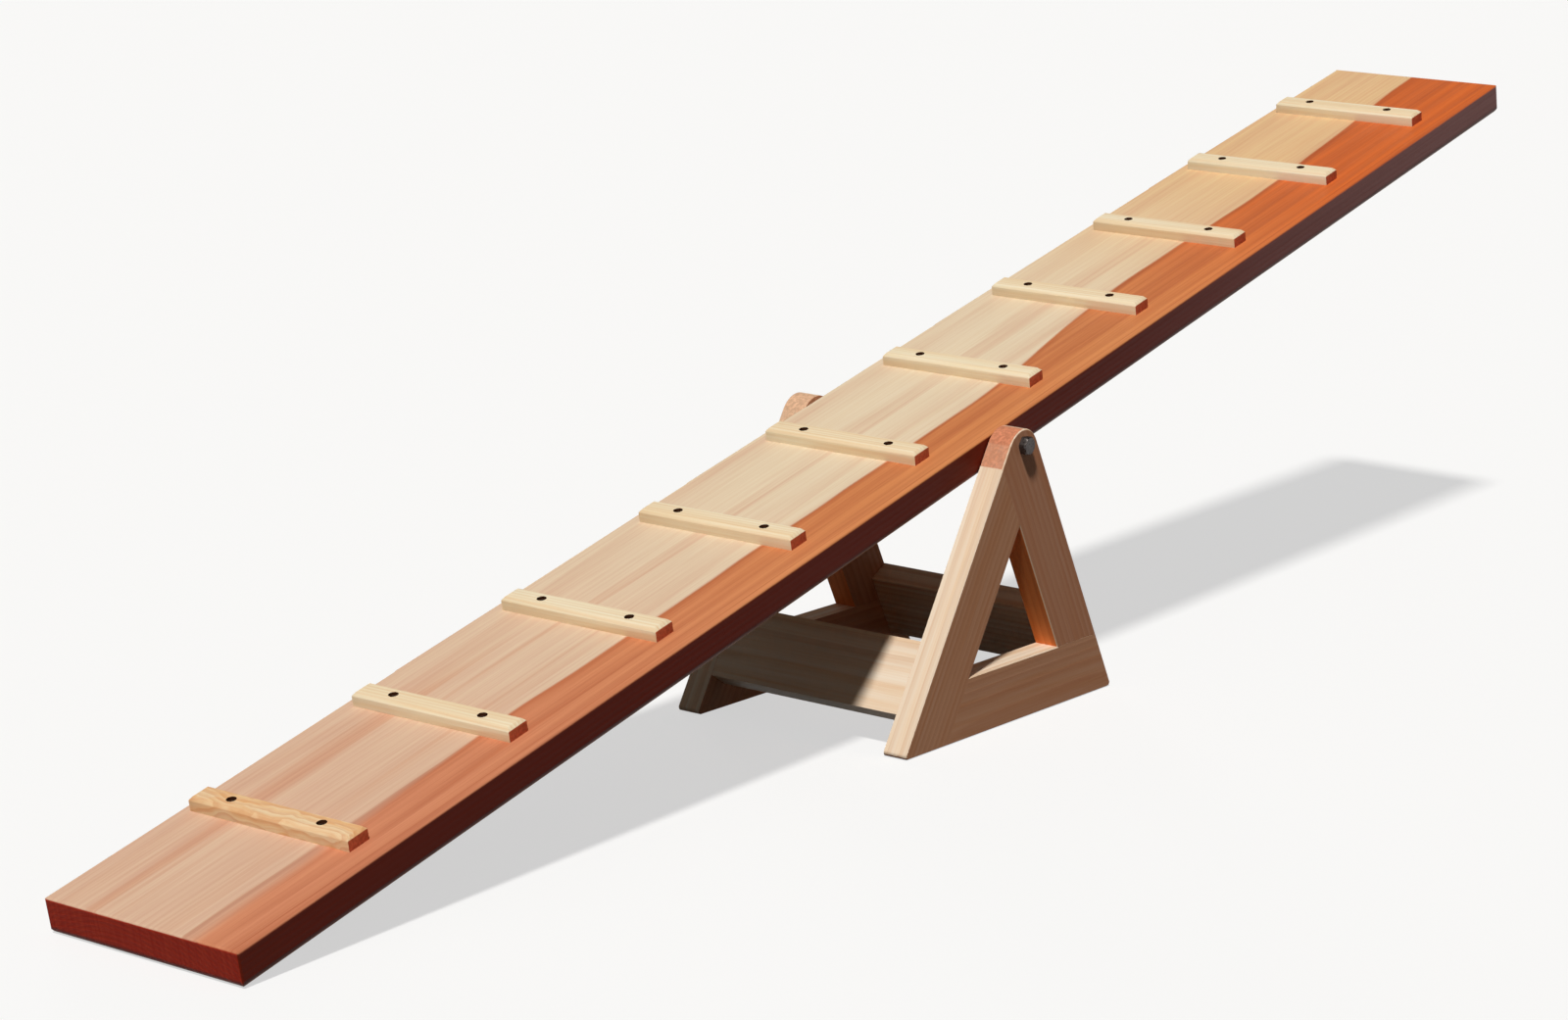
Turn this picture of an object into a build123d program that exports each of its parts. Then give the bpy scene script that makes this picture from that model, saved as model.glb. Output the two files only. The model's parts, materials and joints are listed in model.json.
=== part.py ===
from build123d import *
from math import asin, atan2, cos, degrees, radians, sin, sqrt, tan
import os

# A walking seesaw: a long plank with grip cleats that tips between two triangular wooden frames.
# Millimetres. X runs along the plank from its low end to its high end, Y across it, Z up.
# The origin is on the floor, under the middle of the overall length. The pivot axis lies along Y.
# Right is the side at -Y and left the side at +Y, as seen by someone who walks up the plank.

# Plank
board_length = 2438
board_end_width = 235
board_swell = 6  # the left edge swells out by this at mid length
board_thickness = 38
board_top_round = 3
board_bottom_round = 9.5
board_corner_round = 3
board_corner_clearance = 0.1  # keeps the corner rounding off the long edges

# Pivot
pivot_height = 309
pivot_past_middle = 4  # towards the high end, so that the low end is the heavier one
pivot_above_middle = 3.5  # the bolts sit this far above the middle of the board's thickness
side_gap = 1.5  # between the plank's edge and each frame

# Cleats and their screws
cleat_count = 10
cleat_length = 196
cleat_width = 27.5
cleat_thickness = 15
cleat_chamfer = 3.6
cleat_left_margin = 10
cleat_low_end_distance = 180.5  # from the low end to the front of the first cleat
cleat_high_end_distance = 183.9  # from the front of the last cleat to the high end
screw_inset = 42.5
screw_head_radius = 4.2
screw_shank_radius = 2.1
screw_length = 35
screw_tip = 5
screw_tip_radius = 0.6
screw_recess_radius = 5
screw_recess_depth = 3
screw_clearance = 0.1

# Frames
frame_half_base = 210.5
frame_apex_above_pivot = 47.5  # where the two outer edges would meet
frame_thickness = 28.5
leg_width = 70
rail_height = 67.5
dome_radius = 31
foot_round = 4
arris_chamfer = 1.2

# Stretchers between the frames
stretcher_height = 83.5
stretcher_thickness = 28.5
front_stretcher_rise = 41
rear_stretcher_rise = 38

# Dowels
dowel_radius = 4.75
dowel_length = 50
dowel_clearance = 0.1
frame_dowel_spread = 28
rail_dowel_spread = 26
rear_leg_dowel_offset = 14  # towards the opening, clear of the stretcher dowels
rail_dowel_rise = 5  # towards the opening, away from the rail's underside
stretcher_dowel_spread = 44
stretcher_dowel_in_frame = 20

# Pivot bolts and spacer washers
bolt_radius = 6.25
bolt_length = 130
bolt_tip = 12
bolt_head_across_flats = 19
bolt_head_height = 8.3
bolt_head_chamfer = 1.4
bolt_head_turn = 12
bolt_play = 0.2  # between the head and the frame
bore_clearance = 0.08
washer_radius = 12
washer_hole_radius = 6.7
washer_play = 0.2

# Screws, dowels and their holes have this many flat sides, because there are so many of them
small_part_sides = 12

# Worked out from the sizes above
frame_apex_height = pivot_height + frame_apex_above_pivot
board_middle_width = board_end_width + board_swell
board_top = board_thickness / 2 - pivot_above_middle
board_bottom = board_top - board_thickness
pivot_from_low_end = board_length / 2 + pivot_past_middle
pivot_from_high_end = board_length - pivot_from_low_end
cleat_pitch = (board_length - cleat_low_end_distance - cleat_high_end_distance) / (cleat_count - 1)
inner_half_width = board_middle_width / 2 + side_gap
outer_half_width = inner_half_width + frame_thickness
slope = degrees(atan2(frame_half_base, frame_apex_height))  # each outer edge leans this far inwards
slope_rad = radians(slope)
opening_half_width = frame_half_base * (1 - rail_height / frame_apex_height) - leg_width / cos(slope_rad)
crotch_height = frame_apex_height - leg_width / sin(slope_rad)
cut_margin = 40  # how far the cutting shapes reach past the frame
mouth_margin = 1  # how far hole cutters stand out of the surface


def rest_tilt():
    """Angle at which the rounded lower corner of the low end touches the floor."""
    along = pivot_from_low_end - board_bottom_round
    below = -board_bottom - board_bottom_round
    rise = pivot_height - board_bottom_round
    return asin(rise / sqrt(along**2 + below**2)) - atan2(below, along)


tilt = rest_tilt()


def pivot_offset():
    """X of the pivot that puts the origin under the middle of the overall length."""
    low_x = (board_top_round - pivot_from_low_end) * cos(tilt) - (board_top - board_top_round) * sin(tilt)
    low_x -= board_top_round
    high_x = (pivot_from_high_end - board_bottom_round) * cos(tilt)
    high_x -= (board_bottom + board_bottom_round) * sin(tilt)
    high_x += board_bottom_round
    return -(low_x + high_x) / 2


pivot_x = pivot_offset()
board_place = Pos(pivot_x, 0, pivot_height) * Rot(0, -degrees(tilt), 0)
stand_place = Pos(pivot_x, 0, 0)


def turned(points):
    """A solid of revolution about Z from (radius, height) points."""
    profile = Plane.XZ * make_face(Polyline(*points, close=True))
    return revolve(profile, Axis.Z)


# Plank, drawn with its pivot axis at the origin and its top facing +Z

def cleat_front(index):
    return cleat_low_end_distance + index * cleat_pitch - pivot_from_low_end


def cleat_left_edge():
    return board_middle_width / 2 - board_swell - cleat_left_margin


def screw_places():
    places = []
    for index in range(cleat_count):
        x = cleat_front(index) + cleat_width / 2
        for y in (cleat_left_edge() - screw_inset, cleat_left_edge() - cleat_length + screw_inset):
            places.append(Pos(x, y, board_top + cleat_thickness - screw_recess_depth))
    return places


def straight(radius, low, high):
    """A many-sided prism about Z between two heights."""
    return Pos(0, 0, low) * extrude(RegularPolygon(radius, small_part_sides), high - low)


def tapered(wide, narrow, length):
    """A many-sided cone from its wide end at the origin down to a narrow end at -length."""
    run = (wide - narrow) * cos(radians(180 / small_part_sides))
    lean = degrees(atan2(run, length))
    return Rot(180, 0, 0) * extrude(RegularPolygon(wide, small_part_sides), length, taper=lean)


def screw():
    """Countersunk wood screw, its head's flat top at the origin."""
    head_depth = screw_head_radius - screw_shank_radius
    shank_end = screw_tip - screw_length
    head = tapered(screw_head_radius, screw_shank_radius, head_depth)
    shank = straight(screw_shank_radius, shank_end, -head_depth)
    tip = Pos(0, 0, shank_end) * tapered(screw_shank_radius, screw_tip_radius, screw_tip)
    return head + shank + tip


def screw_hole():
    """Recess, countersink and pilot hole for one screw."""
    head = screw_head_radius + screw_clearance
    shank = screw_shank_radius + screw_clearance
    recess = straight(screw_recess_radius, 0, screw_recess_depth + mouth_margin)
    countersink = tapered(head, shank, head - shank)
    pilot = straight(shank, -screw_length - screw_clearance, shank - head)
    return recess + countersink + pilot


def board_outline():
    """Plan outline: a straight right edge and a left edge that swells out in a long arc."""
    low = -pivot_from_low_end
    high = pivot_from_high_end
    right = -board_middle_width / 2
    left = board_middle_width / 2 - board_swell
    right_edge = Line((low, right), (high, right))
    high_end = Line((high, right), (high, left))
    left_edge = ThreePointArc((high, left), ((low + high) / 2, left + board_swell), (low, left))
    low_end = Line((low, left), (low, right))
    return make_face([right_edge, high_end, left_edge, low_end])


def board_with_round_edges():
    """The board with its long top and bottom edges rounded over."""
    board = extrude(Pos(0, 0, board_bottom) * board_outline(), board_thickness)
    long_top = board.edges().group_by(Axis.Z)[-1].sort_by(Edge.length)[-2:]
    board = fillet(long_top, board_top_round)
    long_bottom = board.edges().group_by(Axis.Z)[0].sort_by(Edge.length)[-2:]
    return fillet(long_bottom, board_bottom_round)


def round_ended_block():
    """A block as long as the board but wider, with its top and bottom end edges rounded over."""
    seat = (Align.MIN, Align.CENTER, Align.MIN)
    block = Box(board_length, 2 * board_middle_width, board_thickness, align=seat)
    block = Pos(-pivot_from_low_end, 0, board_bottom) * block
    block = fillet(block.edges().filter_by(Axis.Y).group_by(Axis.Z)[-1], board_top_round)
    return fillet(block.edges().filter_by(Axis.Y).group_by(Axis.Z)[0], board_bottom_round)


def round_cornered_block():
    """The board's outline with round corners, taller than the board."""
    outline = offset(board_outline(), board_corner_clearance, kind=Kind.INTERSECTION)
    outline = fillet(outline.vertices(), board_corner_round)
    return Pos(0, 0, board_bottom - cut_margin) * extrude(outline, board_thickness + 2 * cut_margin)


def plank():
    body = board_with_round_edges() & round_ended_block() & round_cornered_block()
    for place in screw_places():
        body -= place * screw_hole()
    for side_turn in (90, -90):
        body -= Rot(side_turn, 0, 0) * Pos(0, 0, board_middle_width / 2) * bolt_pilot()
    return board_place * body


def bolt_pilot():
    """Hole in the plank's edge for one pivot bolt, with its mouth at the origin and its depth along -Z."""
    depth = bolt_length - frame_thickness - side_gap
    radius = bolt_radius + dowel_clearance
    return turned([
        (0, mouth_margin),
        (radius, mouth_margin),
        (radius, bolt_tip - depth),
        (0, -depth - dowel_clearance),
    ])


def cleat(index):
    block = Box(cleat_width, cleat_length, cleat_thickness, align=(Align.MIN, Align.MAX, Align.MIN))
    block = chamfer(block.edges().group_by(Axis.Z)[-1], cleat_chamfer)
    block = Pos(cleat_front(index), cleat_left_edge(), board_top) * block
    for place in screw_places()[2 * index:2 * index + 2]:
        block -= place * screw_hole()
    return board_place * block


def cleat_screws():
    return Compound(children=[board_place * place * screw() for place in screw_places()])


def pivot_bolt():
    """Hexagon head bolt of the right side, its shank through the frame into the plank's edge."""
    across = bolt_head_across_flats / 2
    hexagon = RegularPolygon(across, 6, major_radius=False, rotation=bolt_head_turn)
    head = extrude(hexagon, bolt_head_height)
    cone_radius = across / cos(radians(30))
    trim = turned([
        (0, 0),
        (cone_radius, 0),
        (cone_radius, bolt_head_height - bolt_head_chamfer / 2),
        (cone_radius - bolt_head_chamfer, bolt_head_height),
        (0, bolt_head_height),
    ])
    shank = turned([
        (0, 0),
        (bolt_radius, 0),
        (bolt_radius, bolt_tip - bolt_length),
        (0, -bolt_length),
    ])
    bolt = (head & trim) + shank
    return board_place * Pos(0, -outer_half_width - bolt_play, 0) * Rot(90, 0, 0) * bolt


def spacer_washer():
    """Thin washer of the right side, against the plank's edge."""
    thickness = side_gap - washer_play
    ring = Cylinder(washer_radius, thickness, align=(Align.CENTER, Align.CENTER, Align.MIN))
    ring -= Cylinder(washer_hole_radius, 3 * thickness)
    return board_place * Pos(0, -board_middle_width / 2, 0) * Rot(90, 0, 0) * ring


# Frames, drawn in side view with the pivot over the origin

def frame_outline():
    """Triangle with a round head, less its triangular opening."""
    dome_centre = frame_apex_height - dome_radius / sin(slope_rad)
    tangent_x = dome_radius * cos(slope_rad)
    tangent_z = dome_centre + dome_radius * sin(slope_rad)
    front_edge = Line((-frame_half_base, 0), (-tangent_x, tangent_z))
    head = ThreePointArc((-tangent_x, tangent_z), (0, dome_centre + dome_radius), (tangent_x, tangent_z))
    rear_edge = Line((tangent_x, tangent_z), (frame_half_base, 0))
    floor_edge = Line((frame_half_base, 0), (-frame_half_base, 0))
    outer = make_face([front_edge, head, rear_edge, floor_edge])
    outer = fillet(outer.vertices().group_by(Axis.Y)[0], foot_round)
    opening = make_face(Polyline(
        (-opening_half_width, rail_height),
        (opening_half_width, rail_height),
        (0, crotch_height),
        close=True,
    ))
    return outer - opening


def inner_line_x(height):
    """X of the rear leg's front edge at a height. The front leg's rear edge is at minus this."""
    return (crotch_height - height) * tan(slope_rad)


def frame_blank():
    """The right frame in one piece, with the arrises of its outer face eased."""
    blank = extrude(Plane.XZ.offset(inner_half_width) * frame_outline(), frame_thickness)
    blank = chamfer(blank.edges().group_by(Axis.Y)[0], arris_chamfer)
    bore = Cylinder(bolt_radius + bore_clearance, 4 * outer_half_width)
    return blank - Pos(0, 0, pivot_height) * Rot(90, 0, 0) * bore


def cut_out(points):
    """A prism through the right frame that keeps one of its three pieces."""
    outline = make_face(Polyline(*points, close=True))
    inside = Plane.XZ.offset(inner_half_width - cut_margin)
    return extrude(inside * outline, frame_thickness + 2 * cut_margin)


def front_leg_region():
    low = -cut_margin
    high = frame_apex_height + cut_margin
    return cut_out([
        (-frame_half_base - cut_margin, low),
        (-inner_line_x(low), low),
        (0, crotch_height),
        (inner_line_x(high), high),
        (-frame_half_base - cut_margin, high),
    ])


def rear_leg_region():
    high = frame_apex_height + cut_margin
    return cut_out([
        (inner_line_x(rail_height), rail_height),
        (frame_half_base + cut_margin, rail_height),
        (frame_half_base + cut_margin, high),
        (inner_line_x(high), high),
    ])


def bottom_rail_region():
    low = -cut_margin
    return cut_out([
        (-inner_line_x(low), low),
        (frame_half_base + cut_margin, low),
        (frame_half_base + cut_margin, rail_height),
        (-inner_line_x(rail_height), rail_height),
    ])


def frame_dowel_places():
    """Centre and direction of the six dowels in the right frame, two through each joint."""
    y = -inner_half_width - frame_thickness / 2
    half_opening = opening_half_width
    places = []
    joint_length = leg_width / sin(2 * slope_rad)
    for shift in (-frame_dowel_spread / 2, frame_dowel_spread / 2):
        along = joint_length / 2 + shift
        x = -along * sin(slope_rad)
        z = crotch_height + along * cos(slope_rad)
        places.append(Pos(x, y, z) * Rot(0, 90 - slope, 0))
    low_joint = leg_width / cos(slope_rad)
    for shift in (-frame_dowel_spread / 2, frame_dowel_spread / 2):
        x = half_opening + low_joint / 2 - rear_leg_dowel_offset + shift
        places.append(Pos(x, y, rail_height))
    for shift in (-rail_dowel_spread / 2, rail_dowel_spread / 2):
        along = rail_height / 2 + rail_dowel_rise + shift
        places.append(Pos(-inner_line_x(along), y, along) * Rot(0, 90 + slope, 0))
    return places


def stretcher_place(foot_side, rise):
    """Local frame of a stretcher: Z up the leg's slope, X into the stand from the leg's outer edge."""
    start = rise / cos(slope_rad)
    if foot_side < 0:
        return Pos(-frame_half_base, 0, 0) * Rot(0, slope, 0) * Pos(0, 0, start)
    return Pos(frame_half_base, 0, 0) * Rot(0, -slope, 0) * Pos(0, 0, start)


def stretcher_dowel_places(foot_side, rise):
    """The two dowels at the right end of a stretcher."""
    inwards = -foot_side * stretcher_thickness / 2
    y = -inner_half_width - stretcher_dowel_in_frame + dowel_length / 2
    places = []
    for shift in (-stretcher_dowel_spread / 2, stretcher_dowel_spread / 2):
        middle = Pos(inwards, y, stretcher_height / 2 + shift)
        places.append(stretcher_place(foot_side, rise) * middle * Rot(90, 0, 0))
    return places


def all_stretcher_dowel_places():
    return stretcher_dowel_places(-1, front_stretcher_rise) + stretcher_dowel_places(1, rear_stretcher_rise)


def dowel():
    return straight(dowel_radius, -dowel_length / 2, dowel_length / 2)


def dowel_hole():
    radius = dowel_radius + dowel_clearance
    half_depth = dowel_length / 2 + dowel_clearance
    return straight(radius, -half_depth, half_depth)


def frame_piece(region):
    """One member of the right frame, drilled for every dowel that reaches it."""
    piece = frame_blank() & region
    for place in frame_dowel_places() + all_stretcher_dowel_places():
        piece -= place * dowel_hole()
    return stand_place * piece


def stretcher(foot_side, rise):
    side_align = Align.MIN if foot_side < 0 else Align.MAX
    seat = (side_align, Align.CENTER, Align.MIN)
    board = Box(stretcher_thickness, 2 * inner_half_width, stretcher_height, align=seat)
    board = stretcher_place(foot_side, rise) * board
    for place in stretcher_dowel_places(foot_side, rise):
        right_hole = place * dowel_hole()
        board -= right_hole
        board -= mirror(right_hole, about=Plane.XZ)
    return stand_place * board


def both_sides(solids):
    """A group of the given right-hand solids and their left-hand mirror images."""
    group = []
    for solid in solids:
        group.append(solid)
        group.append(mirror(solid, about=Plane.XZ))
    return Compound(children=group)


def dowel_group(places):
    """Dowels at the given places of the right frame, and their mirror images in the left one."""
    return both_sides([stand_place * place * dowel() for place in places])


def all_nodes():
    nodes = {"plank": plank()}
    for index in range(cleat_count):
        nodes[f"cleat_{index + 1:02d}"] = cleat(index)
    nodes["cleat_screws"] = cleat_screws()
    nodes["right_pivot_bolt"] = pivot_bolt()
    nodes["left_pivot_bolt"] = mirror(pivot_bolt(), about=Plane.XZ)
    nodes["spacer_washers"] = both_sides([spacer_washer()])
    for name, region in (("front_leg", front_leg_region()), ("rear_leg", rear_leg_region()),
                         ("bottom_rail", bottom_rail_region())):
        member = frame_piece(region)
        nodes[f"right_{name}"] = member
        nodes[f"left_{name}"] = mirror(member, about=Plane.XZ)
    nodes["front_stretcher"] = stretcher(-1, front_stretcher_rise)
    nodes["rear_stretcher"] = stretcher(1, rear_stretcher_rise)
    nodes["frame_dowels"] = dowel_group(frame_dowel_places())
    nodes["stretcher_dowels"] = dowel_group(all_stretcher_dowel_places())
    return nodes


os.makedirs("parts", exist_ok=True)
for node_name, node_shape in all_nodes().items():
    export_step(node_shape, f"parts/{node_name}.step")
print(f"tilt at rest {degrees(tilt):.3f} degrees, pivot at x {pivot_x:.3f}, z {pivot_height}")
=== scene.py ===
import json
import math

import bmesh
import bpy
from mathutils import Matrix, Vector


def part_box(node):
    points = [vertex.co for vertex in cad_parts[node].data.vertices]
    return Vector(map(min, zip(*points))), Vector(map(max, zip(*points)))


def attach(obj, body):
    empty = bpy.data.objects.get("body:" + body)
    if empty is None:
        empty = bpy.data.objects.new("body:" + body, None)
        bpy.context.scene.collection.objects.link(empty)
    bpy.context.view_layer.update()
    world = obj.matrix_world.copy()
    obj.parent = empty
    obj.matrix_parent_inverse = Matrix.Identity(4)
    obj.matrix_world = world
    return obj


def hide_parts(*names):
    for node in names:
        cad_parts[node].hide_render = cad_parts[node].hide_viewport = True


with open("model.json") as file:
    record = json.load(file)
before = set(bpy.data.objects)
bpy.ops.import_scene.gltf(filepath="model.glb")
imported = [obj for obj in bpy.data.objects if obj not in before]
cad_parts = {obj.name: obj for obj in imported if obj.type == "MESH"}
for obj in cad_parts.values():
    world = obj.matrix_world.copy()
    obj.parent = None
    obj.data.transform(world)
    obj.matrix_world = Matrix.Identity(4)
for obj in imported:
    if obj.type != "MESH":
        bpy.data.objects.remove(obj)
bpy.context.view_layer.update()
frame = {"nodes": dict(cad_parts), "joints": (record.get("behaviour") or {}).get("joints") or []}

# The walking seesaw's looks, in metres, in the CAD frame.
# X runs from the plank's low end to its high end, Y across it to the left, Z up.

# Camera, at the photograph's place and angle
camera_place = Vector((-3.5622, -2.3586, 1.1455))
camera_yaw = 0.61555
camera_pitch = -0.21547
camera_roll = 0.03066
camera_lens = 90.92
camera_sensor = 36
camera_reach = 100

# Lights
sun_direction = Vector((0.53, 0.22, -0.82))
sun_strength = 3.12
sun_softness = math.radians(5)
sky_strength = 0.09
# The fill lights the back, which the sun leaves dark
fill_direction = Vector((-0.64, -0.76, -0.07))
fill_strength = 0.8
fill_softness = math.radians(20)
lamp_tone = (1.0, 0.985, 0.96)
sky_tone = (1.0, 0.96, 0.92, 1)
white = (1, 1, 1, 1)

# Floor
floor_size = 180
floor_drop = 0.0005
floor_tone = (0.93, 0.93, 0.92, 1)
floor_tone_unseen = (0.05, 0.046, 0.042, 1)
floor_white_share = 0.6

# Wood
wood_shine = 0.05

# Plank and stand, worked out from the frame
pivot = Vector(frame["joints"][0]["pos_m"])
low_cleat = sum(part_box("cleat_01"), Vector()) / 2
high_cleat = sum(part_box("cleat_10"), Vector()) / 2
along_plank = (high_cleat - low_cleat).normalized()
tilt = math.atan2(along_plank.z, along_plank.x)
plank_place = Matrix.Translation(pivot) @ Matrix.Rotation(-tilt, 4, "Y")
to_plank = plank_place.inverted()
frame_slope = math.radians(30.56)


# Shader building blocks

def add(tree, kind, inputs=None, **settings):
    """A new shader node, with its settings and its input values or links."""
    made = tree.nodes.new("ShaderNode" + kind)
    for name, value in settings.items():
        setattr(made, name, value)
    for socket, value in (inputs or {}).items():
        if isinstance(value, bpy.types.NodeSocket):
            tree.links.new(value, made.inputs[socket])
        else:
            made.inputs[socket].default_value = value
    return made


def math_node(tree, operation, first, second=0.0, third=0.0):
    made = add(tree, "Math", {0: first, 1: second, 2: third}, operation=operation)
    return made.outputs[0]


def product(tree, first, second):
    return math_node(tree, "MULTIPLY", first, second)


def ramp(tree, value, low, high):
    """0 where value is at low, 1 where it is at high, and smooth between."""
    inputs = {"Value": value, "From Min": low, "From Max": high}
    return add(tree, "MapRange", inputs, interpolation_type="SMOOTHSTEP").outputs["Result"]


def blend(tree, share, first, second, kind="MIX"):
    """A colour between first and second."""
    made = add(tree, "Mix", {0: share, 6: first, 7: second}, data_type="RGBA", blend_type=kind)
    return made.outputs[2]


def rgb(red, green, blue):
    """Display colour from 0 to 255 as the linear colour that shaders want."""
    linear = []
    for value in (red, green, blue):
        share = value / 255
        linear.append(share / 12.92 if share <= 0.04045 else ((share + 0.055) / 1.055) ** 2.4)
    return (*linear, 1)


def noise(tree, place, scale, detail=3.0, roughness=0.5, distortion=0.0):
    inputs = {"Vector": place, "Scale": scale, "Detail": detail, "Roughness": roughness,
              "Distortion": distortion}
    return add(tree, "TexNoise", inputs).outputs["Fac"]


def stretched(tree, place, scales):
    made = add(tree, "Mapping", {"Vector": place, "Scale": scales})
    return made.outputs["Vector"]


def new_material(name):
    material = bpy.data.materials.new(name)
    material.use_nodes = True
    return material


def shader_of(material):
    return material.node_tree.nodes["Principled BSDF"]


def board_coordinates(tree, origin, turn, grain="X"):
    """Object coordinates moved to origin and turned about Y, with the grain along X."""
    place = add(tree, "TexCoord").outputs["Object"]
    moved = add(tree, "VectorMath", {0: place, 1: origin}, operation="SUBTRACT").outputs[0]
    turned = add(tree, "VectorRotate", {"Vector": moved, "Angle": turn}, rotation_type="Y_AXIS").outputs[0]
    if grain == "X":
        return turned
    parts = add(tree, "SeparateXYZ", {0: turned})
    swapped = {0: parts.outputs[1], 1: parts.outputs[0], 2: parts.outputs[2]}
    return add(tree, "CombineXYZ", swapped).outputs[0]


def end_grain_share(tree, turn, grain="X"):
    """1 on faces that look along the grain, 0 on the others."""
    normal = add(tree, "TexCoord").outputs["Normal"]
    turned = add(tree, "VectorRotate", {"Vector": normal, "Angle": turn}, rotation_type="Y_AXIS").outputs[0]
    parts = add(tree, "SeparateXYZ", {0: turned})
    along = parts.outputs[0 if grain == "X" else 1]
    return ramp(tree, math_node(tree, "ABSOLUTE", along), 0.75, 0.92)


def ring_pattern(tree, place, pith, spacing, wander):
    """Saw-tooth growth rings about a pith line that runs roughly along X: 0 early wood, 1 late wood."""
    bend = noise(tree, stretched(tree, place, (1.3, 6, 6)), 1.0, 2.0)
    parts = add(tree, "SeparateXYZ", {0: place})
    across = math_node(tree, "SUBTRACT", parts.outputs[1], pith[0])
    depth = math_node(tree, "SUBTRACT", parts.outputs[2], pith[1])
    squares = math_node(tree, "ADD", product(tree, across, across), product(tree, depth, depth))
    radius = math_node(tree, "SQRT", squares)
    radius = math_node(tree, "ADD", radius, product(tree, bend, wander))
    rings = math_node(tree, "FRACT", math_node(tree, "DIVIDE", radius, spacing))
    rise = ramp(tree, rings, 0.15, 0.9)
    fall = ramp(tree, rings, 0.93, 1.0)
    return product(tree, rise, math_node(tree, "SUBTRACT", 1.0, fall))


def finish_wood(material, colour, height, roughness_low, roughness_high, bump):
    """Links colour, a slightly varied sheen and a fine bump into the material's shader."""
    tree = material.node_tree
    shader = shader_of(material)
    tree.links.new(colour, shader.inputs["Base Color"])
    rough = add(tree, "MapRange", {"Value": height, "To Min": roughness_high, "To Max": roughness_low})
    tree.links.new(rough.outputs["Result"], shader.inputs["Roughness"])
    relief = add(tree, "Bump", {"Height": height, "Distance": bump, "Strength": 0.5})
    tree.links.new(relief.outputs["Normal"], shader.inputs["Normal"])
    shader.inputs["Specular IOR Level"].default_value = wood_shine


# Plank: pale sapwood on the left, salmon to orange heartwood on the right

sapwood_low = rgb(218, 182, 156)
sapwood_middle = rgb(231, 213, 184)
sapwood_high = rgb(230, 192, 144)
sapwood_streak = rgb(201, 136, 104)
heartwood_low = rgb(210, 128, 88)
heartwood_middle = rgb(216, 135, 76)
heartwood_high = rgb(218, 100, 28)
heartwood_streak = rgb(168, 78, 40)
edge_low = rgb(114, 36, 20)
edge_high = rgb(166, 118, 114)
edge_streak = rgb(84, 34, 24)
underside = rgb(186, 124, 88)
end_grain_dark = rgb(164, 42, 28)
end_grain_light = rgb(186, 64, 42)
end_arc = rgb(120, 30, 22)
band_tint = rgb(236, 214, 186)
mottle_tint = rgb(150, 84, 60)
fibre_dark = rgb(118, 70, 50)
fibre_light = rgb(255, 246, 232)

sapwood_line = -0.054  # Y of the edge of the sapwood near the low end
# From the first X to the second that line moves left by the third number
sapwood_steps = ((0.02, 0.42, 0.030), (0.72, 1.30, 0.027))
half_width = 0.1205
top_height = 0.0155
arris_line = 0.010  # a darker line runs this far in from the right arris


def sapwood_edge(tree, along, place):
    """Y of the line between sapwood and heartwood, as it wanders along the plank."""
    line = sapwood_line
    for start, end, shift in sapwood_steps:
        step = ramp(tree, along, start, end)
        line = math_node(tree, "MULTIPLY_ADD", step, shift, line)
    wander = noise(tree, stretched(tree, place, (3.2, 0.4, 0.4)), 1.0, 2.0)
    return math_node(tree, "MULTIPLY_ADD", wander, 0.016, math_node(tree, "SUBTRACT", line, 0.008))


def along_the_plank(tree, along, low, middle, high):
    first = blend(tree, ramp(tree, along, -1.0, -0.1), low, middle)
    return blend(tree, ramp(tree, along, 0.25, 0.85), first, high)


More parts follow.
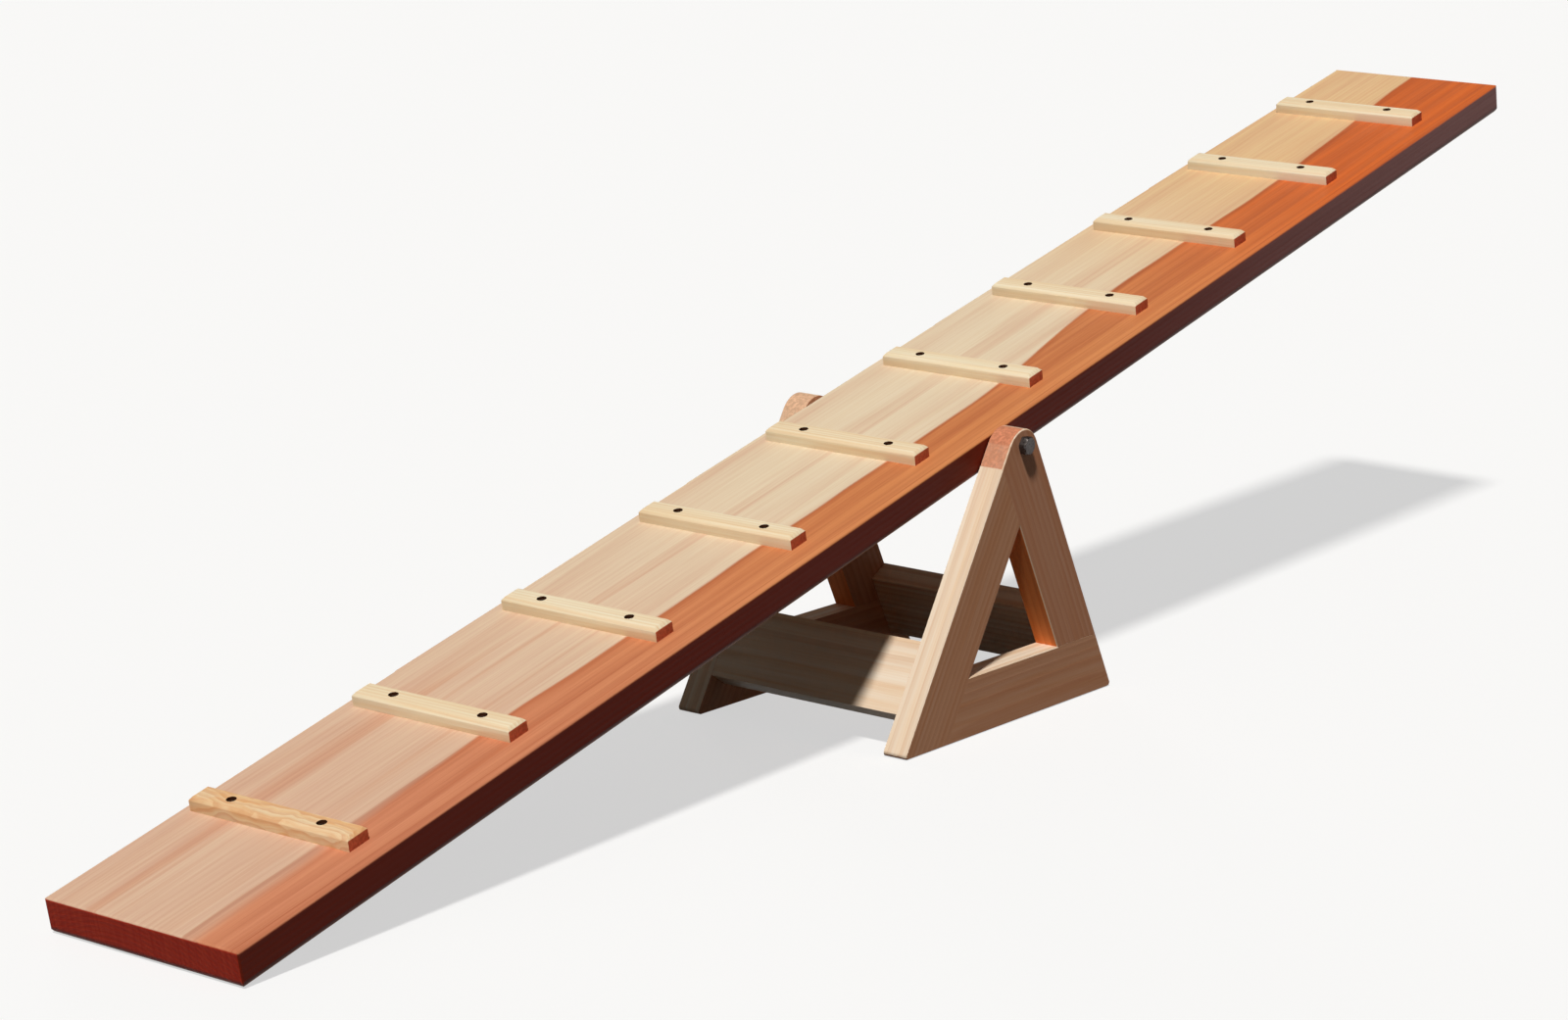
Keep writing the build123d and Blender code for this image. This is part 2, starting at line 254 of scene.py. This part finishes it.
def plank_wood():
    material = new_material("plank_wood")
    tree = material.node_tree
    place = board_coordinates(tree, pivot, tilt)
    parts = add(tree, "SeparateXYZ", {0: place})
    along, across, height = parts.outputs

    fibres = noise(tree, stretched(tree, place, (6, 420, 420)), 1.0, 4.0, 0.6)
    streaks = noise(tree, stretched(tree, place, (0.9, 46, 30)), 1.0, 3.0, 0.55, 0.2)
    bands = noise(tree, stretched(tree, place, (0.5, 15, 10)), 1.0, 2.0)
    mottle = noise(tree, stretched(tree, place, (9, 40, 40)), 1.0, 3.0)
    rings = ring_pattern(tree, place, (0.035, -0.42), 0.0062, 0.011)

    pale = along_the_plank(tree, along, sapwood_low, sapwood_middle, sapwood_high)
    streak_share = product(tree, ramp(tree, streaks, 0.5, 0.72), 0.55)
    fading = math_node(tree, "SUBTRACT", 1.0, product(tree, ramp(tree, along, -1.0, 0.3), 0.6))
    pale = blend(tree, product(tree, streak_share, fading), pale, sapwood_streak)
    pale = blend(tree, product(tree, rings, 0.16), pale, sapwood_streak)

    red = along_the_plank(tree, along, heartwood_low, heartwood_middle, heartwood_high)
    red = blend(tree, product(tree, ramp(tree, streaks, 0.42, 0.7), 0.42), red, heartwood_streak)
    red = blend(tree, product(tree, rings, 0.22), red, heartwood_streak)

    past_line = math_node(tree, "SUBTRACT", sapwood_edge(tree, along, place), across)
    softness = math_node(tree, "MULTIPLY_ADD", ramp(tree, along, -0.75, -1.2), 0.022, 0.0025)
    heart = ramp(tree, past_line, -0.0015, softness)
    heart_strength = along_strength(tree, along)
    colour = blend(tree, product(tree, heart, heart_strength), pale, red)
    line_shade = product(tree, ramp(tree, past_line, -0.002, 0.002), ramp(tree, past_line, 0.012, 0.002))
    colour = blend(tree, product(tree, line_shade, 0.45), colour, heartwood_streak)
    from_arris = math_node(tree, "ADD", math_node(tree, "MULTIPLY_ADD", bands, 0.006, across), half_width)
    off_line = math_node(tree, "ABSOLUTE", math_node(tree, "SUBTRACT", from_arris, arris_line))
    colour = blend(tree, product(tree, ramp(tree, off_line, 0.0013, 0.0), 0.4), colour, heartwood_streak)

    pale_bands = product(tree, bands, math_node(tree, "MULTIPLY_ADD", heart, -0.11, 0.16))
    colour = blend(tree, pale_bands, colour, band_tint)
    colour = blend(tree, product(tree, mottle, 0.10), colour, mottle_tint)
    colour = blend(tree, 0.13, colour, shade_of(tree, fibres, fibre_dark, fibre_light), "OVERLAY")

    rightward = product(tree, across, -1.0)
    right_side = ramp(tree, rightward, half_width - 0.0030, half_width - 0.0012)
    edge = blend(tree, ramp(tree, along, 0.1, 1.15), edge_low, edge_high)
    edge = blend(tree, product(tree, streaks_fine(tree, place), 0.5), edge, edge_streak)
    below_top = ramp(tree, height, top_height - 0.0008, top_height - 0.0030)
    edge_share = product(tree, right_side, below_top)
    colour = blend(tree, edge_share, colour, edge)
    low_face = ramp(tree, height, top_height - 0.030, top_height - 0.036)
    colour = blend(tree, product(tree, low_face, 0.5), colour, underside)

    ends = end_grain_share(tree, tilt)
    end_rings = noise(tree, stretched(tree, place, (1, 260, 22)), 1.0, 4.0, 0.65)
    end_colour = blend(tree, ramp(tree, end_rings, 0.2, 0.9), end_grain_dark, end_grain_light)
    end_arcs = ring_pattern(tree, place, (0.035, -0.10), 0.0048, 0.004)
    end_colour = blend(tree, product(tree, end_arcs, 0.25), end_colour, end_arc)
    colour = blend(tree, ends, colour, end_colour)

    relief = math_node(tree, "MULTIPLY_ADD", rings, 0.5, fibres)
    finish_wood(material, colour, relief, 0.36, 0.56, 0.00025)
    return material


def along_strength(tree, along):
    """How strongly the heartwood stands out: less near the low end."""
    return math_node(tree, "MULTIPLY_ADD", ramp(tree, along, -1.1, -0.2), 0.12, 0.84)


def streaks_fine(tree, place):
    return noise(tree, stretched(tree, place, (2.5, 130, 130)), 1.0, 4.0, 0.6)


def shade_of(tree, value, dark, light):
    return blend(tree, ramp(tree, value, 0.25, 0.75), dark, light)


# Plain timber of the cleats and the stand

timber_fibre_dark = rgb(118, 78, 52)
timber_fibre_light = rgb(255, 248, 236)


def timber(name, origin, turn, light, middle, dark, grain="X", ring_spacing=0.007, pith=(0.12, -0.06),
           end=None, swirl=0.0, face=None, under=None):
    """Pale wood with end grain on its cut ends; face tints its broad sides and under its low ones, both as
    painted shade.
    """
    material = new_material(name)
    tree = material.node_tree
    place = board_coordinates(tree, origin, turn, grain)
    if swirl:
        warp = add(tree, "TexNoise", {"Vector": place, "Scale": 22.0, "Detail": 2.0}).outputs["Color"]
        centred = add(tree, "VectorMath", {0: warp, 1: (0.5, 0.5, 0.5)}, operation="SUBTRACT").outputs[0]
        scaled = add(tree, "VectorMath", {0: centred, "Scale": swirl}, operation="SCALE").outputs[0]
        place = add(tree, "VectorMath", {0: place, 1: scaled}, operation="ADD").outputs[0]
    fibres = noise(tree, stretched(tree, place, (9, 480, 480)), 1.0, 4.0, 0.62)
    streaks = noise(tree, stretched(tree, place, (2.0, 70, 70)), 1.0, 3.0, 0.55, 0.15)
    bands = noise(tree, stretched(tree, place, (1.4, 18, 18)), 1.0, 2.0)
    rings = ring_pattern(tree, place, pith, ring_spacing, 0.012)
    colour = blend(tree, ramp(tree, streaks, 0.35, 0.7), light, middle)
    colour = blend(tree, product(tree, rings, 0.32), colour, dark)
    colour = blend(tree, product(tree, ramp(tree, bands, 0.45, 0.75), 0.25), colour, middle)
    fibre_shade = shade_of(tree, fibres, timber_fibre_dark, timber_fibre_light)
    colour = blend(tree, 0.14, colour, fibre_shade, "OVERLAY")
    # Painted shade: the broad sides, left and right, tinted darker and browner
    if face:
        sideways = add(tree, "SeparateXYZ", {0: add(tree, "TexCoord").outputs["Normal"]}).outputs[1]
        broad = ramp(tree, math_node(tree, "ABSOLUTE", sideways), 0.8, 0.95)
        colour = blend(tree, product(tree, broad, 0.8), colour, face, "MULTIPLY")
    # Painted shade: faces that look downwards tinted darker and warmer
    if under:
        upward = add(tree, "SeparateXYZ", {0: add(tree, "TexCoord").outputs["Normal"]}).outputs[2]
        colour = blend(tree, ramp(tree, upward, -0.35, -0.45), colour, under, "MULTIPLY")
    ends = end_grain_share(tree, turn, grain)
    end_spots = noise(tree, stretched(tree, place, (1, 300, 300)), 1.0, 4.0, 0.6)
    end_light = end or dark
    end_dark = tuple(0.7 * channel for channel in end_light[:3]) + (1,)
    end_colour = blend(tree, ramp(tree, end_spots, 0.35, 0.7), end_dark, end_light)
    colour = blend(tree, ends, colour, end_colour)
    relief = math_node(tree, "MULTIPLY_ADD", rings, 0.5, fibres)
    finish_wood(material, colour, relief, 0.42, 0.62, 0.0002)
    return material


# Metal

def steel(name, base, worn, metallic, roughness):
    """Plated steel with faint scratches and dull spots."""
    material = new_material(name)
    tree = material.node_tree
    place = add(tree, "TexCoord").outputs["Object"]
    spots = noise(tree, place, 420.0, 4.0, 0.6)
    scratches = noise(tree, stretched(tree, place, (260, 2400, 900)), 1.0, 3.0, 0.5)
    dull = ramp(tree, spots, 0.45, 0.7)
    colour = blend(tree, dull, base, worn)
    shader = shader_of(material)
    tree.links.new(colour, shader.inputs["Base Color"])
    shader.inputs["Metallic"].default_value = metallic
    spread = {"Value": scratches, "To Min": roughness - 0.1, "To Max": roughness + 0.12}
    rough = add(tree, "MapRange", spread)
    tree.links.new(rough.outputs["Result"], shader.inputs["Roughness"])
    relief = add(tree, "Bump", {"Height": scratches, "Distance": 0.00006, "Strength": 0.4})
    tree.links.new(relief.outputs["Normal"], shader.inputs["Normal"])
    return material


# Mesh building blocks

lathe_steps = 40


def object_from(bm, name, place=Matrix.Identity(4)):
    """A shown object from a bmesh whose points are moved to place."""
    bmesh.ops.recalc_face_normals(bm, faces=bm.faces)
    mesh = bpy.data.meshes.new(name)
    bm.to_mesh(mesh)
    bm.free()
    mesh.transform(place)
    made = bpy.data.objects.new(name, mesh)
    bpy.context.scene.collection.objects.link(made)
    return made


def smooth(piece, angle):
    """Smooth shading, with edges sharper than angle kept."""
    bm = bmesh.new()
    bm.from_mesh(piece.data)
    for face in bm.faces:
        face.smooth = True
    for edge in bm.edges:
        edge.smooth = len(edge.link_faces) == 2 and edge.calc_face_angle(0) < angle
    bm.to_mesh(piece.data)
    bm.free()


def lathe(bm, profile):
    """Closed solid of revolution about Z from (radius, height) points that start and end on the axis."""
    rings = []
    for radius, height in profile:
        if radius == 0:
            rings.append([bm.verts.new((0, 0, height))])
            continue
        ring = []
        for step in range(lathe_steps):
            angle = 2 * math.pi * step / lathe_steps
            ring.append(bm.verts.new((radius * math.cos(angle), radius * math.sin(angle), height)))
        rings.append(ring)
    for lower, upper in zip(rings, rings[1:]):
        for step in range(lathe_steps):
            after = (step + 1) % lathe_steps
            corners = [lower[step % len(lower)], lower[after % len(lower)],
                       upper[after % len(upper)], upper[step % len(upper)]]
            unique = list(dict.fromkeys(corners))
            bm.faces.new(unique)


def cut(piece, cutters):
    """Takes the cutter objects out of the piece for good."""
    for cutter in cutters:
        modifier = piece.modifiers.new("cut", "BOOLEAN")
        modifier.operation = "DIFFERENCE"
        modifier.solver = "EXACT"
        modifier.object = cutter
    bpy.context.view_layer.update()
    result = bpy.data.meshes.new_from_object(piece.evaluated_get(bpy.context.evaluated_depsgraph_get()))
    piece.modifiers.clear()
    piece.data = result
    for cutter in cutters:
        bpy.data.objects.remove(cutter)


# Cleats, their screws, the pivot bolts and the washers

cleat_count = 10
cleat_length = 0.196
cleat_width = 0.0275
cleat_thickness = 0.015
cleat_chamfer = 0.0036
cleat_ease = 0.0006
screw_inset = 0.0425
recess_radius = 0.005
recess_depth = 0.003
recess_flare = 0.0003
recess_margin = 0.0001
screw_radius = 0.0042
screw_rim = 0.0001
screw_dome = 0.0004
screw_cone_radius = 0.0021
screw_cone_depth = 0.0021
screw_neck_radius = 0.0020
screw_neck_depth = 0.0035
slot_width = 0.0013
slot_cut_height = 0.0024
slot_cut_middle = 0.0004
bolt_steps = 48
bolt_head_radius = 0.0095
bolt_head_height = 0.0083
bolt_head_turn = math.radians(12)
bolt_side_share = 0.82  # of the head's height, up to the chamfer
bolt_chamfer_slope = 0.55
bolt_top_share = 0.97  # of the head's radius
bolt_dish_radius = 0.0072
bolt_dish_depth = 0.0001
bolt_shank_radius = 0.00625
thread_start = 0.045
thread_runout = 0.001
thread_length = 0.070
thread_pitch = 0.0035
thread_rows = 6  # in one turn
thread_root = 0.0050
thread_flank = 3.2
cone_start = 0.118
cone_radius = 0.0045
cone_tip = 0.1294
ease_width = 0.0007
ease_angle = math.radians(40)
weld_distance = 0.00002


def cleat_corner(index):
    """The low right bottom corner of a cleat, in the plank's own frame."""
    low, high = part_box(f"cleat_{index + 1:02d}")
    centre = to_plank @ ((low + high) / 2)
    return Vector((centre.x - cleat_width / 2, centre.y - cleat_length / 2, centre.z - cleat_thickness / 2))


def screw_places(index):
    corner = cleat_corner(index)
    height = corner.z + cleat_thickness - recess_depth
    for across in (screw_inset, cleat_length - screw_inset):
        yield Vector((corner.x + cleat_width / 2, corner.y + across, height))


def cleat_piece(index):
    """A cleat with chamfered top edges, eased arrises and two round screw recesses."""
    bm = bmesh.new()
    bmesh.ops.create_cube(bm, size=1)
    for vertex in bm.verts:
        vertex.co *= Vector((cleat_width, cleat_length, cleat_thickness))
    top = [edge for edge in bm.edges if all(vertex.co.z > 0 for vertex in edge.verts)]
    bmesh.ops.bevel(bm, geom=top, offset=cleat_chamfer, segments=1, affect="EDGES")
    ground = -cleat_thickness / 2
    eased = [edge for edge in bm.edges if max(vertex.co.z for vertex in edge.verts) > ground + 1e-6]
    bmesh.ops.bevel(bm, geom=eased, offset=cleat_ease, segments=2, profile=0.5, affect="EDGES")
    corner = cleat_corner(index)
    centre = corner + Vector((cleat_width, cleat_length, cleat_thickness)) / 2
    piece = object_from(bm, f"grip_cleat_{index + 1:02d}", Matrix.Translation(centre))
    cutters = []
    for place in screw_places(index):
        recess = bmesh.new()
        mouth_radius = recess_radius + recess_flare
        lathe(recess, [(0, 0), (recess_radius, 0), (mouth_radius, 2 * recess_depth), (0, 2 * recess_depth)])
        cutters.append(object_from(recess, "recess", Matrix.Translation(place)))
    cut(piece, cutters)
    piece.data.transform(plank_place)
    smooth(piece, math.radians(32))
    return piece


def shade_recesses(piece, index, material):
    """Paints shade into a cleat's screw recesses: their walls and floors get a dark material of their own.
    """
    piece.data.materials.append(material)
    recess_slot = len(piece.data.materials) - 1
    for place in screw_places(index):
        for face in piece.data.polygons:
            offset = to_plank @ face.center - place
            inside = math.hypot(offset.x, offset.y) < recess_radius + recess_flare + recess_margin
            if inside and offset.z < recess_depth - recess_margin:
                face.material_index = recess_slot


def screw_head(place, turn, name):
    """Countersunk head with a straight slot, a slightly domed top and the neck under it."""
    bm = bmesh.new()
    lathe(bm, [
        (0, -screw_neck_depth),
        (screw_neck_radius, -screw_neck_depth),
        (screw_cone_radius, -screw_cone_depth),
        (screw_radius - 2 * screw_rim, -3 * screw_rim),
        (screw_radius, -screw_rim),
        (screw_radius - 3 * screw_rim, 2 * screw_rim),
        (screw_radius * 0.6, screw_dome),
        (0, screw_dome + screw_rim),
    ])
    piece = object_from(bm, name)
    slot = bmesh.new()
    bmesh.ops.create_cube(slot, size=1)
    for vertex in slot.verts:
        slot_height = vertex.co.z * slot_cut_height + slot_cut_middle
        vertex.co = Vector((vertex.co.x * 3 * screw_radius, vertex.co.y * slot_width, slot_height))
    slot_place = Matrix.Rotation(turn, 4, "Z")
    cut(piece, [object_from(slot, "slot", slot_place)])
    piece.data.transform(plank_place @ Matrix.Translation(place))
    smooth(piece, math.radians(35))
    return piece


def ring_of_points(bm, radius, height):
    """A ring of new vertices about Z; radius and height are numbers, or functions of the angle."""
    ring = []
    for step in range(bolt_steps):
        angle = 2 * math.pi * step / bolt_steps
        outward = radius(angle) if callable(radius) else radius
        upward = height(angle) if callable(height) else height
        ring.append(bm.verts.new((outward * math.cos(angle), outward * math.sin(angle), upward)))
    return ring


def join_rings(bm, rings):
    """Faces between each ring and the next."""
    for lower, upper in zip(rings, rings[1:]):
        for step in range(bolt_steps):
            after = (step + 1) % bolt_steps
            bm.faces.new((lower[step], lower[after], upper[after], upper[step]))


def hexagon_radius(angle):
    sixth = math.radians(60)
    nearest_flat = sixth * round((angle - bolt_head_turn) / sixth) + bolt_head_turn
    return bolt_head_radius / math.cos(angle - nearest_flat)


def chamfer_height(angle):
    """Height at which the head's chamfer meets its side: lower towards the corners."""
    past_flat = hexagon_radius(angle) - bolt_head_radius
    return bolt_side_share * bolt_head_height - past_flat * bolt_chamfer_slope


def hex_bolt(name, node_name, side):
    """Hexagon head bolt with a chamfered head, a thread and a pointed end. Side is -1 right, 1 left."""
    bm = bmesh.new()
    head = [
        ring_of_points(bm, hexagon_radius, 0),
        ring_of_points(bm, hexagon_radius, chamfer_height),
        ring_of_points(bm, bolt_top_share * bolt_head_radius, bolt_head_height),
        ring_of_points(bm, bolt_dish_radius, bolt_head_height - bolt_dish_depth),
    ]
    join_rings(bm, head)
    bm.faces.new(head[-1])
    neck = ring_of_points(bm, bolt_shank_radius, 0)
    join_rings(bm, [neck, head[0]])
    thread_shank(bm, neck)
    outward = Matrix.Rotation(math.radians(-90 * side), 4, "X")
    low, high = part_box(node_name)
    face = (low.y if side < 0 else high.y) - side * bolt_head_height
    place = Matrix.Translation((pivot.x, face, pivot.z)) @ Matrix.Rotation(-tilt, 4, "Y") @ outward
    piece = object_from(bm, name, place)
    smooth(piece, math.radians(28))
    return piece


def thread_shank(bm, neck):
    """The bolt's shank below its head: a smooth part, a helical thread and a cone."""
    rings = [neck, ring_of_points(bm, bolt_shank_radius, -thread_start)]
    turns = int(thread_length / thread_pitch)
    for count in range(turns * thread_rows + 1):

        def thread_radius(angle, count=count):
            phase = (count / thread_rows + angle / (2 * math.pi)) % 1
            ridge = max(0.0, 1 - abs(phase - 0.5) * thread_flank)
            return thread_root + (bolt_shank_radius - thread_root) * ridge

        depth = thread_start + thread_runout + count * thread_pitch / thread_rows
        rings.append(ring_of_points(bm, thread_radius, -depth))
    rings.append(ring_of_points(bm, cone_radius, -cone_start))
    join_rings(bm, rings)
    tip = bm.verts.new((0, 0, -cone_tip))
    last = rings[-1]
    for step in range(bolt_steps):
        bm.faces.new((last[step], last[(step + 1) % bolt_steps], tip))


def ease_edges(node):
    """Softens a CAD node's sharp arrises with modifiers, its own mesh untouched."""
    weld = node.modifiers.new("join_corners", "WELD")
    weld.merge_threshold = weld_distance
    bevel = node.modifiers.new("ease_edges", "BEVEL")
    bevel.width = ease_width
    bevel.segments = 2
    bevel.limit_method = "ANGLE"
    bevel.angle_limit = ease_angle
    bevel.use_clamp_overlap = True
    weights = node.modifiers.new("even_shading", "WEIGHTED_NORMAL")
    weights.keep_sharp = True


def paint(piece, material):
    """Gives every face of the piece one material, set on the object's own slots."""
    if not piece.material_slots:
        piece.data.materials.append(material)
    for slot in piece.material_slots:
        slot.material = material


# Dressing the object

nodes = frame["nodes"]
cleat_light = rgb(241, 230, 202)
cleat_middle = rgb(235, 211, 174)
cleat_dark = rgb(222, 176, 126)
cleat_end = rgb(190, 92, 62)
swirl_middle = rgb(230, 180, 128)
swirl_dark = rgb(200, 124, 70)
# Painted shade: the dark colour of the screw recesses' walls and floors
recess_shade_tone = rgb(66, 38, 24)
# Painted shade: warm darkening of the stand's downward faces
stand_underside_shade = rgb(244, 164, 108)
stand_light = rgb(246, 228, 206)
stand_middle = rgb(238, 207, 174)
stand_dark = rgb(208, 158, 116)
stand_end = rgb(226, 146, 110)
far_end = rgb(238, 192, 156)
# Painted shade in part: the screw steel is darkened beyond its dark oxide
screw_tone_and_shade = rgb(84, 74, 66)
screw_dull_and_shade = rgb(34, 24, 20)
bolt_tone = rgb(82, 76, 74)
bolt_dull = rgb(48, 36, 32)
washer_tone = rgb(170, 166, 160)
washer_dull = rgb(110, 96, 84)

frame_centre = 0.136  # half the distance between the two frames
leg_turn = math.radians(90) - frame_slope
leg_offset = 0.11
leg_height = 0.1
stretcher_offset = 0.17
stretcher_height = 0.07
members = (
    ("front_leg", leg_turn, -leg_offset),
    ("rear_leg", -leg_turn, leg_offset),
    ("bottom_rail", 0.0, 0.0),
)
# Painted shade: tints that darken and brown the stand's broad sides, the rear leg's more
stand_side_shade = rgb(212, 154, 118)
rear_leg_side_shade = rgb(202, 138, 102)

paint(nodes["plank"], plank_wood())

# Painted shade: a dark wood for the walls and floors of the screw recesses
recess_painted_shade = timber("recess_painted_shade", tuple(pivot), tilt, recess_shade_tone, recess_shade_tone, recess_shade_tone, grain="Y")
for index in range(cleat_count):
    node_name = f"cleat_{index + 1:02d}"
    origin = tuple(plank_place @ (cleat_corner(index) + Vector((0.31 * index, 0, 0))))
    tones = (cleat_light, cleat_middle, cleat_dark) if index else (cleat_middle, swirl_middle, swirl_dark)
    wood = timber(f"{node_name}_wood", origin, tilt, *tones, grain="Y", ring_spacing=0.005,
                  pith=(0.05 + 0.011 * (index % 4), -0.03 - 0.008 * (index % 3)), end=cleat_end,
                  swirl=0.0 if index else 0.02)
    cleat = cleat_piece(index)
    paint(cleat, wood)
    shade_recesses(cleat, index, recess_painted_shade)
    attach(cleat, "plank")
    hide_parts(node_name)

# Screw heads: dark oxide steel, darkened further as painted shade of the recesses they sit in
screw_steel = steel("screw_steel", screw_tone_and_shade, screw_dull_and_shade, 0.8, 0.36)
for index in range(cleat_count):
    for side, place in zip(("right", "left"), screw_places(index)):
        turn = math.radians(37 * index + (61 if side == "left" else 12))
        head = screw_head(place, turn, f"screw_{index + 1:02d}_{side}")
        paint(head, screw_steel)
        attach(head, "plank")
        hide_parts("cleat_screws")

bolt_steel = steel("bolt_steel", bolt_tone, bolt_dull, 0.8, 0.38)
for bolt_name, side in (("right", -1), ("left", 1)):
    node_name = f"{bolt_name}_pivot_bolt"
    bolt = hex_bolt(f"{bolt_name}_hex_bolt", node_name, side)
    paint(bolt, bolt_steel)
    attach(bolt, "plank")
    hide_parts(node_name)

paint(nodes["spacer_washers"], steel("washer_steel", washer_tone, washer_dull, 0.9, 0.4))

for side in ("right", "left"):
    sign = -1 if side == "right" else 1
    for member, turn, start in members:
        node = nodes[f"{side}_{member}"]
        origin = (pivot.x + start, sign * frame_centre, leg_height)
        # Each member's wood carries painted shade on its broad sides and downward faces
        wood = timber(f"{side}_{member}_wood", origin, turn, stand_light, stand_middle, stand_dark,
                      pith=(0.07 * sign, -0.09), under=stand_underside_shade,
                      end=stand_end if side == "right" else far_end,
                      face=rear_leg_side_shade if member == "rear_leg" else stand_side_shade)
        paint(node, wood)
        ease_edges(node)

for stretcher, start in (("front_stretcher", -stretcher_offset), ("rear_stretcher", stretcher_offset)):
    origin = (pivot.x + start, 0, stretcher_height)
    wood = timber(f"{stretcher}_wood", origin, 0.0, stand_light, stand_middle, stand_dark, grain="Y",
                  pith=(0.09, -0.07), end=stand_end)
    paint(nodes[stretcher], wood)
    ease_edges(nodes[stretcher])

dowel_wood = timber("dowel_wood", tuple(pivot), 0.0, stand_middle, stand_middle, stand_dark, end=stand_dark)
paint(nodes["frame_dowels"], dowel_wood)
paint(nodes["stretcher_dowels"], dowel_wood)


# Stage: a pale floor, soft light and the camera

def white_for_camera(tree, shader_for_others, white_share, seen_shader):
    """Camera, mirror and glass rays get seen_shader mixed with plain white; the rest, shader_for_others."""
    rays = add(tree, "LightPath")
    seen = math_node(tree, "MAXIMUM", rays.outputs["Is Camera Ray"], rays.outputs["Is Glossy Ray"])
    seen = math_node(tree, "MAXIMUM", seen, rays.outputs["Is Transmission Ray"])
    glow = add(tree, "Emission", {"Color": white, "Strength": 1.0}).outputs[0]
    shown = add(tree, "MixShader", {0: white_share, 1: seen_shader, 2: glow}).outputs[0]
    return add(tree, "MixShader", {0: seen, 1: shader_for_others, 2: shown}).outputs[0]


def make_floor():
    bm = bmesh.new()
    bmesh.ops.create_grid(bm, x_segments=1, y_segments=1, size=floor_size / 2)
    floor = object_from(bm, "floor", Matrix.Translation((0, 0, -floor_drop)))
    material = new_material("floor_pale")
    tree = material.node_tree
    tree.nodes.remove(shader_of(material))
    seen = add(tree, "BsdfDiffuse", {"Color": floor_tone}).outputs[0]
    others = add(tree, "BsdfDiffuse", {"Color": floor_tone_unseen}).outputs[0]
    mixed = white_for_camera(tree, others, floor_white_share, seen)
    tree.links.new(mixed, tree.nodes["Material Output"].inputs["Surface"])
    paint(floor, material)


def make_world():
    world = bpy.data.worlds.new("studio")
    bpy.context.scene.world = world
    world.use_nodes = True
    tree = world.node_tree
    tree.nodes.remove(tree.nodes["Background"])
    rays = add(tree, "LightPath")
    seen = math_node(tree, "MAXIMUM", rays.outputs["Is Camera Ray"], rays.outputs["Is Transmission Ray"])
    plain = add(tree, "Background", {"Color": sky_tone, "Strength": sky_strength}).outputs[0]
    backdrop = add(tree, "Background", {"Color": white, "Strength": 1.0}).outputs[0]
    mixed = add(tree, "MixShader", {0: seen, 1: plain, 2: backdrop}).outputs[0]
    tree.links.new(mixed, tree.nodes["World Output"].inputs["Surface"])


def make_sun(name, direction, strength, softness, shines):
    """A sun lamp; without shines it leaves no gloss."""
    lamp = bpy.data.lights.new(name, "SUN")
    lamp.energy = strength
    lamp.angle = softness
    lamp.color = lamp_tone
    sun = bpy.data.objects.new(name, lamp)
    sun.rotation_mode = "QUATERNION"
    sun.rotation_quaternion = direction.to_track_quat("-Z", "Y")
    sun.visible_glossy = shines
    bpy.context.scene.collection.objects.link(sun)


def make_camera():
    level_reach = math.cos(camera_pitch)
    forward = Vector((level_reach * math.cos(camera_yaw), level_reach * math.sin(camera_yaw),
                      math.sin(camera_pitch)))
    level = Vector((math.sin(camera_yaw), -math.cos(camera_yaw), 0))
    upright = level.cross(forward)
    right = math.cos(camera_roll) * level + math.sin(camera_roll) * upright
    up = -math.sin(camera_roll) * level + math.cos(camera_roll) * upright
    turn = Matrix((right, up, -forward)).transposed().to_4x4()
    data = bpy.data.cameras.new("camera")
    data.lens = camera_lens
    data.sensor_width = camera_sensor
    data.sensor_fit = "HORIZONTAL"
    data.clip_end = camera_reach
    camera = bpy.data.objects.new("camera", data)
    camera.matrix_world = Matrix.Translation(camera_place) @ turn
    bpy.context.scene.collection.objects.link(camera)
    bpy.context.scene.camera = camera


make_floor()
make_world()
make_sun("key", sun_direction, sun_strength, sun_softness, True)
make_sun("fill", fill_direction, fill_strength, fill_softness, False)
make_camera()
bpy.context.scene.view_settings.view_transform = "Standard"
